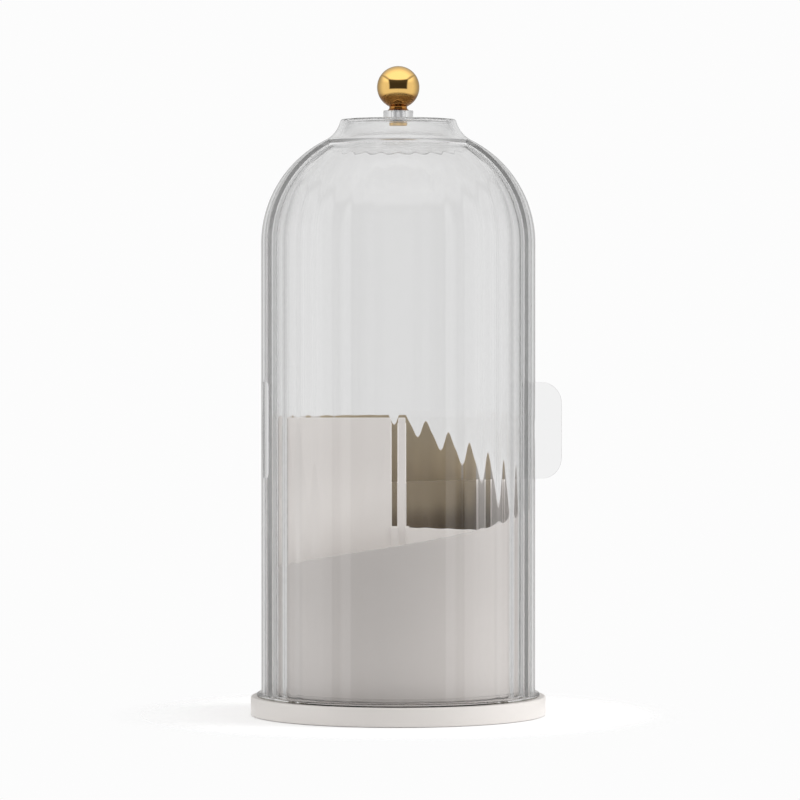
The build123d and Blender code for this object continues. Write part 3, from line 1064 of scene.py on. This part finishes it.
@dataclass
class FlutedDome:
    """The clear dome: its fixed rear shell, the door shell inside it and the ring under them."""

    radius: float = 65.0
    wall: float = 1.8
    shoulder_height: float = 223.6
    shoulder_radius: float = 54.6
    crease_angle: float = 63.5
    neck_radius: float = 14.0
    neck_top: float = 282.403
    neck_round: float = 1.2
    top_wall: float = 1.1
    ring_top: float = 10.4
    opening: float = 70.0
    door_gap: float = 0.5
    door_wall: float = 1.8
    door_foot: float = 10.7
    door_left: float = -74.0
    door_right: float = 72.5
    washer_gap: float = 0.3
    disc_wall: float = 1.0
    bore_radius: float = 2.65
    flutes: int = 36
    flute_main: float = 0.27
    flute_second: float = 0.04
    flute_fade: float = 50.0
    samples_per_flute: int = 12
    wall_rows: int = 8
    shoulder_steps: int = 40
    neck_steps: int = 14
    rim_steps: int = 5
    top_steps: int = 6
    inner_corner_least: float = 0.2
    door_corner: float = 1.0

    @property
    def shoulder_centre(self) -> float:
        """Radius at which the shoulder's arc is centred."""
        return self.radius - self.shoulder_radius

    @property
    def neck_centre(self) -> Pair:
        """Centre of the neck's concave arc, in line with the shoulder's centre and the crease.

        Returns:
            Its radius and height.
        """
        reach = self.shoulder_radius + self.neck_radius
        angle = math.radians(self.crease_angle)
        return self.shoulder_centre + reach * math.cos(angle), self.shoulder_height + reach * math.sin(angle)

    def meridian(self, skin: float, bottom: float, top: float, corner: float) -> np.ndarray:
        """Half section from the foot of the wall to the bore in the top.

        It is the wall's line, the shoulder's arc, the neck's concave arc, a small round at the rim
        and the flat top. Every meridian has the same number of points in each of these.

        Args:
            skin: How far inside the dome's outer surface it lies.
            bottom: Height of the foot.
            top: Height of the flat top.
            corner: Radius of the round between neck and top.

        Returns:
            Rows of radius, height, outward normal (two columns) and the flutes' share of full depth.
        """
        count = self.wall_rows
        rise = np.linspace(bottom, self.shoulder_height, count + 1)[:-1]
        wall = np.stack([np.full(count, self.radius - skin), rise], axis=1)
        middle = (self.shoulder_centre, self.shoulder_height)
        shoulder = arc(middle, self.shoulder_radius - skin, 0, self.crease_angle, self.shoulder_steps)
        centre = self.neck_centre
        neck_radius = self.neck_radius + skin
        reach = neck_radius + corner
        round_centre_height = top - corner
        lean = math.asin((centre[1] - round_centre_height) / reach)
        round_centre_radius = centre[0] - reach * math.cos(lean)
        neck_end = 180 + math.degrees(lean)
        neck = arc(centre, neck_radius, 180 + self.crease_angle, neck_end, self.neck_steps)[1:]
        rim = arc((round_centre_radius, round_centre_height), corner, neck_end - 180, 90, self.rim_steps)[1:]
        flat = np.linspace(round_centre_radius, self.bore_radius, self.top_steps + 1)[1:]
        plate = np.stack([flat, np.full_like(flat, top)], axis=1)
        line = np.concatenate([wall, shoulder, neck, rim, plate])
        domed = slice(count, count + len(shoulder))
        turn = np.linspace(0, self.crease_angle, len(shoulder))
        normal = np.zeros_like(line)
        normal[:count, 0] = 1
        normal[domed] = arc((0, 0), 1, 0, self.crease_angle, self.shoulder_steps)
        fade = np.clip((self.crease_angle - turn) / self.flute_fade, 0, 1)
        share = np.zeros(len(line))
        share[:count] = 1
        share[domed] = fade * fade * (3 - 2 * fade) * shoulder[:, 0] / (self.radius - skin)
        return np.column_stack([line, normal, share])

    def surface(self, bearing: np.ndarray, meridian: np.ndarray, fluted: bool) -> np.ndarray:
        """Points of one surface of a shell on the grid of bearings and meridian rows.

        A fluted surface is moved along its normal by share * (a cos 36 b + c cos 72 b - a - c), so
        its ridges stay on the meridian's line and its hollows lie inside it.

        Args:
            bearing: Bearings in degrees, one for each column.
            meridian: Rows from meridian().
            fluted: True for an outer surface.

        Returns:
            Points in metres, (columns, rows, 3).
        """
        wave = np.zeros(len(bearing))
        if fluted:
            phase = np.radians(bearing) * self.flutes
            wave = self.flute_main * (np.cos(phase) - 1) + self.flute_second * (np.cos(2 * phase) - 1)
        depth = wave[:, None] * meridian[None, :, 4]
        radius = meridian[None, :, 0] + depth * meridian[None, :, 2]
        height = meridian[None, :, 1] + depth * meridian[None, :, 3]
        east, north = bearing_direction(bearing)
        return np.stack([east[:, None] * radius, north[:, None] * radius, height], axis=-1) * MM

    def columns(self, edges: Pair) -> np.ndarray:
        """Bearings of the grid's columns: an even set whose nearest ones are moved to the cut edges.

        Args:
            edges: The two bearings where the cut begins and ends.

        Returns:
            The bearings in degrees.
        """
        count = self.flutes * self.samples_per_flute
        bearing = np.linspace(-180, 180, count, endpoint=False)
        for edge in edges:
            bearing[np.argmin(np.abs(bearing - edge))] = edge
        return bearing

    def shell(
        self,
        name: str,
        skin: float,
        wall: float,
        foot: float,
        top: float,
        roof: float,
        corner: float,
        edges: Pair,
        is_open: Callable[[np.ndarray], np.ndarray],
    ) -> tuple[Piece, int]:
        """One shell: full neck and top, with a sector of the dome cut away below the crease.

        Args:
            name: Name of the piece.
            skin: How far its outer surface lies inside the dome's.
            wall: Thickness of its wall.
            foot: Height of its lower edge.
            top: Height of its flat top.
            roof: Thickness of its flat top.
            corner: Radius of the round at the outer rim.
            edges: The two bearings where the cut begins and ends.
            is_open: Says for a bearing whether it lies in the part cut away.

        Returns:
            The closed shell, and how many of its first faces are its two surfaces.
        """
        bearing = self.columns(edges)
        outer = self.meridian(skin, foot, top, corner)
        inner_corner = max(self.inner_corner_least, corner - roof)
        inner = self.meridian(skin + wall, foot, top - roof, inner_corner)
        middle = bearing + 0.5 * ((np.roll(bearing, -1) - bearing) % 360)
        kept = np.ones((len(bearing), len(outer) - 1), bool)
        kept[is_open(middle), : self.wall_rows + self.shoulder_steps] = False
        made = walled(name, self.surface(bearing, outer, True), self.surface(bearing, inner, False), kept)
        return made, 2 * int(kept.sum())

    def build_fixed(self) -> tuple[Piece, int]:
        """The fixed rear shell, open between -opening and opening.

        Returns:
            The shell, and how many of its first faces are its two surfaces.
        """
        return self.shell(
            "fluted_rear_shell", 0.0, self.wall, self.ring_top, self.neck_top, self.top_wall, self.neck_round,
            (-self.opening, self.opening), lambda bearing: np.abs(bearing) < self.opening,
        )

    def build_door(self) -> tuple[Piece, int]:
        """The door shell, which runs inside the fixed one from door_left to door_right.

        Returns:
            The shell, and how many of its first faces are its two surfaces.
        """
        top = self.neck_top - self.top_wall - self.washer_gap
        skin = self.wall + self.door_gap
        return self.shell(
            "fluted_door_shell", skin, self.door_wall, self.door_foot, top, self.disc_wall, self.door_corner,
            (self.door_left, self.door_right),
            lambda bearing: (bearing > self.door_right) | (bearing < self.door_left),
        )

    def dress(self, finishes: Finishes) -> None:
        """Build, finish and place both shells.

        Args:
            finishes: Finishes to take the materials from.
        """
        fixed, fixed_walls = self.build_fixed()
        door, door_walls = self.build_door()
        clear = finishes.get(finishes.clear)
        edge = finishes.get(finishes.clear_edge)
        install(fixed, Body.COVER, clear, "fixed_shell")
        install(door, Body.DOOR, clear, "door_shell")
        finish_edges(fixed, fixed_walls, edge)
        finish_edges(door, door_walls, edge)


@dataclass
class DomeFittings:
    """Ring under the dome, handle tab on the door and stop pad on the fixed shell."""

    ring_outer: float = 67.2
    ring_inner: float = 59.0
    lip: float = 1.4
    ring_bottom: float = 9.03
    ring_top: float = 10.4
    lip_top: float = 12.4
    spigot_bottom: float = 7.4
    ring_round: float = 0.5
    ring_edge: float = 0.2
    seat_round: float = 0.1
    lip_round: float = 0.3
    ring_steps: int = 4
    ring_segments: int = 256
    tab_bearing: float = 68.0
    tab_root: float = 62.75
    tab_tip: float = 82.3
    tab_thickness: float = 2.0
    tab_bottom: float = 113.1
    tab_height: float = 45.2
    tab_corner: float = 10.0
    tab_edge: float = 0.5
    tab_root_round: float = 0.6
    tab_steps: int = 12
    stop_left: float = -76.0
    stop_right: float = -69.2
    stop_inner: float = 65.03
    stop_outer: float = 66.5
    stop_corner: float = 2.5
    stop_edge: float = 0.3
    stop_steps: int = 8

    def build_ring(self) -> Piece:
        """The ring as one turned solid with its flange, guiding lip and spigot.

        Returns:
            The ring.
        """
        lip = self.ring_inner + self.lip
        corners = [
            (self.ring_inner, self.spigot_bottom),
            (lip, self.spigot_bottom),
            (lip, self.ring_bottom),
            (self.ring_outer, self.ring_bottom),
            (self.ring_outer, self.ring_top),
            (lip, self.ring_top),
            (lip, self.lip_top),
            (self.ring_inner, self.lip_top),
        ]
        lower = [self.ring_edge, self.ring_edge, self.seat_round, self.ring_edge]
        upper = [self.ring_round, self.ring_edge, self.lip_round, self.lip_round]
        outline = rounded_outline(corners, lower + upper, self.ring_steps)
        return turned("dome_ring", outline, self.ring_segments)

    def build_tab(self) -> Piece:
        """The handle tab: an upright plate with large outer corners and rounded edges.

        Returns:
            The tab.
        """
        corners = rectangle(self.tab_root, self.tab_bottom, self.tab_tip, self.tab_bottom + self.tab_height)
        radii = [self.tab_root_round, self.tab_corner, self.tab_corner, self.tab_root_round]
        outline = rounded_outline(corners, radii, self.tab_steps)
        return welded("door_handle_tab", *slab(outline, self.tab_bearing, self.tab_thickness, self.tab_edge))

    def build_stop(self) -> Piece:
        """The stop pad: a rounded plate curved to the shell.

        The plate is worked out flat, as arc length and height, and wrapped round the axis.

        Returns:
            The pad.
        """
        middle = math.radians((self.stop_left + self.stop_right) / 2)
        half = math.radians(self.stop_right - self.stop_left) / 2 * self.stop_inner
        thickness = self.stop_outer - self.stop_inner
        corners = rectangle(-half, self.tab_bottom, half, self.tab_bottom + self.tab_height)
        outline = rounded_outline(corners, [self.stop_corner] * 4, self.stop_steps)
        points, quads = slab(outline, EAST, thickness, self.stop_edge)
        angle = middle + points[:, 0] / MM / self.stop_inner
        radius = (self.stop_outer - thickness / 2) * MM - points[:, 1]
        wrapped = np.stack([radius * np.sin(angle), -radius * np.cos(angle), points[:, 2]], axis=1)
        return welded("open_stop_pad", wrapped, quads)

    def dress(self, finishes: Finishes) -> None:
        """Build, finish and place the fittings.

        Args:
            finishes: Finishes to take the materials from.
        """
        install(self.build_ring(), Body.COVER, finishes.get(finishes.ring_clear), "bottom_ring")
        soft = finishes.get(finishes.soft_clear)
        install(self.build_tab(), Body.DOOR, soft, "handle_tab")
        install(self.build_stop(), Body.COVER, soft, "stop_pad")


@dataclass
class KnobStack:
    """Gold ball knob, clear collar, sleeve and screw."""

    ball_radius: float = 10.05
    ball_centre: float = 297.6
    foot_bottom: float = 286.5
    foot_radius: float = 4.95
    foot_edge: float = 0.45
    foot_round: float = 0.1
    foot_slope: Pair = (0.12, 0.15)
    waist_radius: float = 4.25
    waist_lift: float = 1.3
    flare_pull: Pair = (0.25, 0.4)
    flare_steps: int = 8
    ball_steps: int = 48
    collar_radius: float = 7.1
    collar_bottom: float = 282.4
    sleeve_radius: float = 2.6
    sleeve_bore: float = 1.6
    sleeve_play: float = 0.05
    collar_round: float = 0.3
    edge: float = 0.1
    screw_radius: float = 1.5
    screw_head_radius: float = 4.25
    screw_head_top: float = 279.9
    screw_head_height: float = 2.4
    screw_head_round: float = 0.5
    screw_top: float = 293.4
    screw_tip_round: float = 0.2
    round_steps: int = 4
    sleeve_steps: int = 3
    knob_segments: int = 96
    pin_segments: int = 64

    def build_knob(self) -> Piece:
        """Ball and flared foot, turned from one outline.

        The flare is the curve (1 - s)^2 start + 2 s (1 - s) bend + s^2 end, from the foot's edge to
        the ball.

        Returns:
            The knob.
        """
        joint = -math.degrees(math.acos(self.waist_radius / self.ball_radius))
        ball = arc((0, self.ball_centre), self.ball_radius, joint, 90, self.ball_steps)
        edge_top = self.foot_bottom + self.foot_edge
        edge = np.array([
            (0.0, self.foot_bottom),
            (self.foot_radius - self.foot_round, self.foot_bottom),
            (self.foot_radius, self.foot_bottom + self.foot_round),
            (self.foot_radius, edge_top - self.foot_slope[1]),
            (self.foot_radius - self.foot_slope[0], edge_top),
        ])
        share = np.linspace(0, 1, self.flare_steps + 1)[1:-1, None]
        start, end = edge[-1], ball[0]
        bend = np.array([self.waist_radius, self.foot_bottom + self.waist_lift]) - self.flare_pull
        flare = (1 - share) ** 2 * start + 2 * share * (1 - share) * bend + share ** 2 * end
        return turned("gold_ball_knob", np.concatenate([edge, flare, ball]), self.knob_segments)

    def build_collar(self) -> Piece:
        """Clear collar round the sleeve.

        Returns:
            The collar.
        """
        bore = self.sleeve_radius + self.sleeve_play
        corners = rectangle(bore, self.collar_bottom, self.collar_radius, self.foot_bottom)
        radii = [self.edge, self.collar_round, self.collar_round, self.edge]
        return turned("clear_collar", rounded_outline(corners, radii, self.round_steps), self.knob_segments)

    def build_sleeve(self) -> Piece:
        """Bright sleeve that the door turns on.

        Returns:
            The sleeve.
        """
        corners = rectangle(self.sleeve_bore, self.screw_head_top, self.sleeve_radius, self.foot_bottom)
        outline = rounded_outline(corners, [0, self.edge, self.edge, 0], self.sleeve_steps)
        return turned("bright_sleeve", outline, self.pin_segments)

    def build_screw(self) -> Piece:
        """Gold pan-head screw under the top.

        Returns:
            The screw.
        """
        bottom = self.screw_head_top - self.screw_head_height
        corners = [
            (0, bottom),
            (self.screw_head_radius, bottom),
            (self.screw_head_radius, self.screw_head_top),
            (self.screw_radius, self.screw_head_top),
            (self.screw_radius, self.screw_top),
            (0, self.screw_top),
        ]
        radii = [0, self.screw_head_round, self.edge, 0, self.screw_tip_round, 0]
        return turned("gold_screw", rounded_outline(corners, radii, self.round_steps), self.pin_segments)

    def dress(self, finishes: Finishes) -> None:
        """Build, finish and place the knob's pieces.

        Args:
            finishes: Finishes to take the materials from.
        """
        install(self.build_knob(), Body.COVER, finishes.get(finishes.gold_ball), "ball_knob")
        install(self.build_screw(), Body.COVER, finishes.get(finishes.gold), "knob_screw")
        install(self.build_sleeve(), Body.COVER, finishes.get(finishes.chrome), "knob_sleeve")
        install(self.build_collar(), Body.COVER, finishes.get(finishes.clear), "knob_collar")


@dataclass
class InnerWorks:
    """CAD nodes that stay as they are and only get their finishes."""

    def dress(self, finishes: Finishes) -> None:
        """Finish the race, the balls, the pivot and the pad.

        Args:
            finishes: Finishes to take the materials from.
        """
        chosen = {
            "non_slip_pad": finishes.pad,
            "lower_race": finishes.steel,
            "upper_race": finishes.steel,
            "lower_race_screws": finishes.steel,
            "upper_race_screws": finishes.steel,
            "bearing_balls": finishes.chrome,
            "ball_cage": finishes.cage,
            "pivot_bolt": finishes.steel,
            "pivot_washer": finishes.steel,
            "lock_nut": finishes.steel,
            "hub_bush": finishes.bush,
            "wear_washer": finishes.washer,
        }
        for name, finish in chosen.items():
            dress(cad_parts[name], finishes.get(finish))
            LOG.info("%s keeps its CAD mesh", name)


# Studio


@dataclass(frozen=True)
class Lamp:
    """Soft rectangular lamp: its place and size in metres and its power in watts."""

    name: str
    place: tuple[float, float, float]
    power: float
    size: Pair = (0.8, 1.2)
    aim: tuple[float, float, float] = (0.0, 0.0, 0.15)

    def build(self) -> None:
        """Lamp that faces the organizer and is seen in no mirror and through no plastic."""
        data = bpy.data.lights.new(self.name, "AREA")
        data.shape = "RECTANGLE"
        data.size, data.size_y = self.size
        data.energy = self.power
        lamp = bpy.data.objects.new(self.name, data)
        lamp.location = self.place
        lamp.rotation_euler = (Vector(self.aim) - Vector(self.place)).to_track_quat("-Z", "Y").to_euler()
        lamp.visible_glossy = False
        lamp.visible_transmission = False
        bpy.context.scene.collection.objects.link(lamp)


@dataclass
class Surround:
    """World: white to the camera and through the clear plastic, a studio with a dark card to all else.

    Heights and sides are components of a ray's unit direction d.
    """

    white: Colour = (0.975, 0.975, 0.975)
    fill: float = 1.0
    glow: float = 1.5
    glow_start: float = 0.25
    glow_full: float = 0.6
    card_side: float = 0.70
    card_top: float = 0.56
    card_bottom: float = -0.12
    card_edge: float = 0.12
    card_depth: Pair = (-0.2, -0.3)
    card_tone: Colour = (0.06, 0.055, 0.05)
    card_for_shade: float = 0.05
    ground_start: float = -0.45
    ground_full: float = -0.62
    ground_tone: Colour = (0.10, 0.085, 0.07)
    seen_start: float = -0.5
    seen_full: float = -0.7
    seen_tone: Colour = (0.40, 0.385, 0.37)
    rear_start: float = -0.15
    rear_full: float = 0.95
    rear_strength: float = 0.65
    seam_ratio: float = 1.25
    seam_width: float = 0.35
    seam_strength: float = 0.7
    seam_least_height: float = 0.01
    beside_start: float = 0.2
    beside_full: float = 0.7
    beside_fall: float = 0.88
    beside_end: float = 0.97
    beside_tone: Colour = (0.6, 0.6, 0.6)

    def darkness(
        self, tree: Tree, ray: Sockets, side: Socket
    ) -> Socket:
        """How dark the studio is in each direction.

        It is the largest of three masks: the card, a product of soft steps on |d.x|, -d.y and d.z; the
        rear, a soft step on d.y; and two seams, where |d.x| / d.z is close to one ratio.

        Args:
            tree: Node tree to add to.
            ray: Sockets of the direction's parts.
            side: Socket of |d.x|.

        Returns:
            The socket that holds the darkness.
        """
        dark = product_of(tree, [
            soft_step(tree, side, self.card_side + self.card_edge, self.card_side),
            soft_step(tree, ray["Y"], *self.card_depth),
            soft_step(tree, ray["Z"], self.card_top + self.card_edge, self.card_top),
            soft_step(tree, ray["Z"], self.card_bottom - self.card_edge, self.card_bottom),
        ])
        rear = soft_step(tree, ray["Y"], self.rear_start, self.rear_full)
        height = calculated(tree, "MAXIMUM", ray["Z"], self.seam_least_height)
        ratio = calculated(tree, "DIVIDE", side, height)
        seam = product_of(tree, [
            soft_step(tree, ratio, self.seam_ratio - self.seam_width, self.seam_ratio),
            soft_step(tree, ratio, self.seam_ratio + self.seam_width, self.seam_ratio),
        ])
        for mask, strength in ((rear, self.rear_strength), (seam, self.seam_strength)):
            dark = calculated(tree, "MAXIMUM", dark, calculated(tree, "MULTIPLY", mask, strength))
        return dark

    def build(self) -> None:
        """The world, in which the ground is dark where d.z lies below its steps."""
        world = bpy.data.worlds.new("surround")
        world.use_nodes = True
        bpy.context.scene.world = world
        tree = world.node_tree
        tree.nodes.clear()
        output = tree.nodes.new("ShaderNodeOutputWorld")
        seen = tree.nodes.new("ShaderNodeBackground")
        light = tree.nodes.new("ShaderNodeBackground")
        path = tree.nodes.new("ShaderNodeLightPath").outputs
        ray = separated(tree, tree.nodes.new("ShaderNodeTexCoord").outputs["Generated"])
        side = calculated(tree, "ABSOLUTE", ray["X"])
        weaker = mapped(tree, path["Is Diffuse Ray"], (0.0, 1.0), (1.0, self.card_for_shade))
        dark = product_of(tree, [self.darkness(tree, ray, side), weaker])
        ground = soft_step(tree, ray["Z"], self.ground_start, self.ground_full)
        studio = mixed(tree, dark, (1.0, 1.0, 1.0), self.card_tone)
        feed(tree, light.inputs["Color"], mixed(tree, ground, studio, self.ground_tone))
        above = soft_step(tree, ray["Z"], self.glow_start, self.glow_full)
        glow = product_of(tree, [above, path["Is Glossy Ray"]])
        feed(tree, light.inputs["Strength"], mapped(tree, glow, (0.0, 1.0), (self.fill, self.glow)))
        deep = product_of(tree, [
            soft_step(tree, ray["Z"], self.seen_start, self.seen_full),
            path["Is Transmission Ray"],
        ])
        beside = product_of(tree, [
            soft_step(tree, side, self.beside_start, self.beside_full),
            soft_step(tree, side, self.beside_end, self.beside_fall),
            path["Is Transmission Ray"],
        ])
        far = mixed(tree, beside, self.white, self.beside_tone)
        feed(tree, seen.inputs["Color"], mixed(tree, deep, far, self.seen_tone))
        straight = calculated(tree, "MAXIMUM", path["Is Camera Ray"], path["Is Transmission Ray"])
        surface = blended(tree, straight, light.outputs["Background"], seen.outputs["Background"])
        tree.links.new(surface, output.inputs["Surface"])


@dataclass
class Studio:
    """Pale floor, soft lamps, a white surround and the camera, in metres and degrees."""

    camera_distance: float = 2.154
    camera_height: float = 0.195
    camera_side: float = 0.00083
    pitch_down: float = 1.2136
    lens: float = 204.3
    sensor: float = 36.0
    sight: float = 50.0
    floor_reach: float = 1.2
    floor_near: float = 0.085
    floor_far: float = 0.14
    floor_tone: Colour = (0.98, 0.98, 0.98)
    floor_roughness: float = 0.9
    bounces: int = 160
    clear_bounces: int = 32
    lamps: tuple[Lamp, ...] = (
        Lamp("key_lamp", (1.7, 0.0, 0.6), 19.0),
        Lamp("side_lamp", (-1.7, 0.3, 0.6), 6.0),
    )

    def build_camera(self) -> None:
        """Camera at the photograph's distance and height, tilted slightly down."""
        data = bpy.data.cameras.new("camera")
        data.lens = self.lens
        data.sensor_width = self.sensor
        data.clip_end = self.sight
        camera = bpy.data.objects.new("camera", data)
        camera.location = (self.camera_side, -self.camera_distance, self.camera_height)
        camera.rotation_euler = (math.radians(90 - self.pitch_down), 0, 0)
        bpy.context.scene.collection.objects.link(camera)
        bpy.context.scene.camera = camera

    def build_floor(self) -> None:
        """Pale floor that fades into the white surround away from the object."""
        signs = np.array([(-1, -1, 0), (1, -1, 0), (1, 1, 0), (-1, 1, 0)])
        floor = make_object("floor", signs * self.floor_reach, np.array([[0, 1, 2, 3]]))
        material, tree, shader = node_tree("floor_paper")
        shader.inputs["Roughness"].default_value = self.floor_roughness
        shader.inputs["Base Color"].default_value = (*self.floor_tone, 1)
        shader.inputs["Specular IOR Level"].default_value = 0.0
        clear = tree.nodes.new("ShaderNodeBsdfTransparent")
        away = soft_step(tree, axis_distance(tree), self.floor_near, self.floor_far)
        surface = blended(tree, away, shader.outputs["BSDF"], clear.outputs["BSDF"])
        tree.links.new(surface, output_of(tree).inputs["Surface"])
        dress(floor, material)

    def set_light_paths(self) -> None:
        """Enough bounces for light that runs inside the clear walls."""
        cycles = bpy.context.scene.cycles
        cycles.max_bounces = self.bounces
        cycles.glossy_bounces = self.bounces
        cycles.transmission_bounces = self.bounces
        cycles.transparent_max_bounces = self.clear_bounces

    def build(self) -> None:
        """Everything round the organizer."""
        self.build_camera()
        self.build_floor()
        Surround().build()
        self.set_light_paths()
        for lamp in self.lamps:
            lamp.build()
        bpy.context.scene.view_settings.view_transform = "Standard"


def main() -> None:
    """Build the organizer and its studio."""
    logging.basicConfig(level=logging.INFO, format="%(message)s")
    finishes = Finishes()
    Studio().build()
    for part in (Base(), Cup(), FlutedDome(), DomeFittings(), KnobStack(), InnerWorks()):
        part.dress(finishes)


if __name__ == "__main__":
    main()
